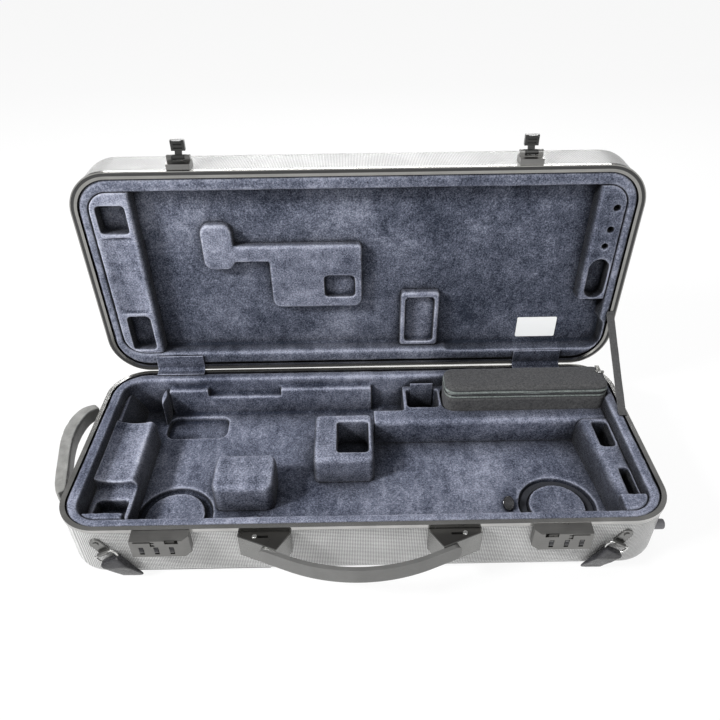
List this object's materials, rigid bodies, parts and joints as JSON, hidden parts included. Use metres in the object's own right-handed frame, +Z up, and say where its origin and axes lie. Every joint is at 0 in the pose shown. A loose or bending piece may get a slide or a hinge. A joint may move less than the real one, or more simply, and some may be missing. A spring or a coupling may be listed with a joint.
{
  "type": "instrument case",
  "caption": "Open hard case for a bassoon: moulded shells on a rear hinge, velvet-covered fitted foam, a lift-out pouch, combination locks and carrying handles",
  "frame": {"origin": "centre of the flat bottom of the base shell, on the surface it stands on", "axes": "X to the right along the case's length, Y from the front handle to the hinges, Z up"},
  "size_m": [0.7269, 0.3995, 0.3916],
  "materials": {
    "shell_silver": "moulded shell with a fine diamond texture, silver grey",
    "rim_metal": "satin extruded rim, warm grey",
    "seal_rubber": "matt black seal",
    "navy_velvet": "crushed navy velvet over foam",
    "pouch_fabric": "dark grey neoprene cloth",
    "zip_tape": "ribbed grey zip tape",
    "black_plastic": "matt black",
    "fitting_metal": "bright plated metal",
    "lock_metal": "gunmetal",
    "bracket_metal": "silver grey satin",
    "cover_plastic": "dark grey satin",
    "band_metal": "grey satin",
    "grip_leather": "grey padded leather",
    "black_leather": "black grained leather, grey on the inside",
    "foot_rubber": "grey rubber",
    "webbing": "dark woven webbing",
    "label_white": "blank pale label"
  },
  "bodies": {
    "base": {"base_lining": "navy_velvet", "base_rim_trim": "rim_metal", "base_shell": "shell_silver", "bracket_covers": "cover_plastic", "corner_pads": "navy_velvet", "end_feet": "foot_rubber", "handle_brackets": "bracket_metal", "hanger_plates": "bracket_metal", "hinge_base_leaves": "fitting_metal", "hinge_flaps": "navy_velvet", "hinge_pins": "fitting_metal", "left_end_block": "navy_velvet", "lock_axles": "fitting_metal", "lock_bodies": "lock_metal", "notched_block": "navy_velvet", "pocket_flap": "navy_velvet", "rear_ledge": "navy_velvet", "rear_left_foams": "navy_velvet", "right_end_block": "navy_velvet", "ring_strap": "navy_velvet", "side_brackets": "bracket_metal", "side_grip": "grip_leather", "small_block": "navy_velvet", "snap_stud": "fitting_metal", "stay_strap": "webbing", "strap_clip": "black_plastic", "strap_tail": "black_leather"},
    "lid": {"lid_shell": "shell_silver", "lid_rim_trim": "rim_metal", "rim_seal": "seal_rubber", "lid_lining": "navy_velvet", "lid_left_block": "navy_velvet", "lid_right_block": "navy_velvet", "lid_pads": "navy_velvet", "label_plate": "label_white", "hinge_lid_leaves": "fitting_metal", "hasp_blocks": "lock_metal", "hasp_pins": "fitting_metal"},
    "hasp_left": {"hasp_plate_left": "fitting_metal"},
    "hasp_right": {"hasp_plate_right": "fitting_metal"},
    "slider_left": {"lock_slider_left": "lock_metal"},
    "slider_right": {"lock_slider_right": "lock_metal"},
    "handle": {"handle_band": "band_metal"},
    "screw_left": {"handle_screw_left": "fitting_metal"},
    "screw_right": {"handle_screw_right": "fitting_metal"},
    "ring_left": {"hanger_ring_left": "fitting_metal", "hanger_strap_left": "black_leather"},
    "ring_right": {"hanger_ring_right": "fitting_metal", "hanger_strap_right": "black_leather"},
    "pouch": {"pouch_body": "pouch_fabric", "pouch_zip": "zip_tape", "pouch_cover": "pouch_fabric", "zip_slider": "fitting_metal"},
    "zip_pull": {"zip_pull": "fitting_metal"},
    "dial_left_1": {"lock_dial_left_1": "black_plastic"},
    "dial_left_2": {"lock_dial_left_2": "black_plastic"},
    "dial_left_3": {"lock_dial_left_3": "black_plastic"},
    "dial_right_1": {"lock_dial_right_1": "black_plastic"},
    "dial_right_2": {"lock_dial_right_2": "black_plastic"},
    "dial_right_3": {"lock_dial_right_3": "black_plastic"}
  },
  "joints": [
    {"name": "lid_hinge", "type": "hinge", "parent": "base", "child": "lid", "pos_m": [0, 0.1416, 0.08], "axis": [-1, 0, 0], "range_deg": [-90, 0], "deforming": ["hinge_flaps", "stay_strap"]},
    {"name": "hasp_left_hinge", "type": "hinge", "parent": "lid", "child": "hasp_left", "pos_m": [-0.205, 0.156, 0.3736], "axis": [-1, 0, 0], "range_deg": [-90, 30]},
    {"name": "slider_left_slide", "type": "slide", "parent": "base", "child": "slider_left", "axis": [1, 0, 0], "range_m": [0, 0.004], "stiffness_N_per_m": 60},
    {"name": "dial_left_1_spin", "type": "hinge", "parent": "base", "child": "dial_left_1", "pos_m": [-0.2385, -0.1508, 0.062], "axis": [1, 0, 0], "continuous": true},
    {"name": "dial_left_2_spin", "type": "hinge", "parent": "base", "child": "dial_left_2", "pos_m": [-0.2225, -0.1508, 0.062], "axis": [1, 0, 0], "continuous": true},
    {"name": "dial_left_3_spin", "type": "hinge", "parent": "base", "child": "dial_left_3", "pos_m": [-0.206, -0.1508, 0.062], "axis": [1, 0, 0], "continuous": true},
    {"name": "screw_left_slide", "type": "slide", "parent": "base", "child": "screw_left", "axis": [1, 0, 0], "range_m": [0, 0.012]},
    {"name": "ring_left_swing", "type": "hinge", "parent": "base", "child": "ring_left", "pos_m": [-0.286, -0.1455, 0.047], "axis": [-0.866, 0, -0.5], "range_deg": [0, 60]},
    {"name": "hasp_right_hinge", "type": "hinge", "parent": "lid", "child": "hasp_right", "pos_m": [0.199, 0.156, 0.3736], "axis": [-1, 0, 0], "range_deg": [-90, 30]},
    {"name": "slider_right_slide", "type": "slide", "parent": "base", "child": "slider_right", "axis": [-1, 0, 0], "range_m": [0, 0.004], "stiffness_N_per_m": 60},
    {"name": "dial_right_1_spin", "type": "hinge", "parent": "base", "child": "dial_right_1", "pos_m": [0.2325, -0.1508, 0.062], "axis": [1, 0, 0], "continuous": true},
    {"name": "dial_right_2_spin", "type": "hinge", "parent": "base", "child": "dial_right_2", "pos_m": [0.2165, -0.1508, 0.062], "axis": [1, 0, 0], "continuous": true},
    {"name": "dial_right_3_spin", "type": "hinge", "parent": "base", "child": "dial_right_3", "pos_m": [0.2, -0.1508, 0.062], "axis": [1, 0, 0], "continuous": true},
    {"name": "screw_right_slide", "type": "slide", "parent": "base", "child": "screw_right", "axis": [-1, 0, 0], "range_m": [0, 0.012]},
    {"name": "ring_right_swing", "type": "hinge", "parent": "base", "child": "ring_right", "pos_m": [0.28, -0.1455, 0.047], "axis": [-0.866, 0, 0.5], "range_deg": [0, 60]},
    {"name": "handle_slide", "type": "slide", "parent": "base", "child": "handle", "axis": [0, -1, 0], "range_m": [0, 0.006]},
    {"name": "pouch_lift", "type": "slide", "parent": "base", "child": "pouch", "axis": [0, 0, 1], "range_m": [0, 0.12]},
    {"name": "zip_pull_hinge", "type": "hinge", "parent": "pouch", "child": "zip_pull", "pos_m": [0.318, 0.097, 0.0985], "axis": [1, 0, 0], "range_deg": [0, 150]}
  ],
  "couplings": [
    {"joint": "screw_left_slide", "follows": "handle_slide", "ratio": 2},
    {"joint": "screw_right_slide", "follows": "handle_slide", "ratio": 2}
  ]
}
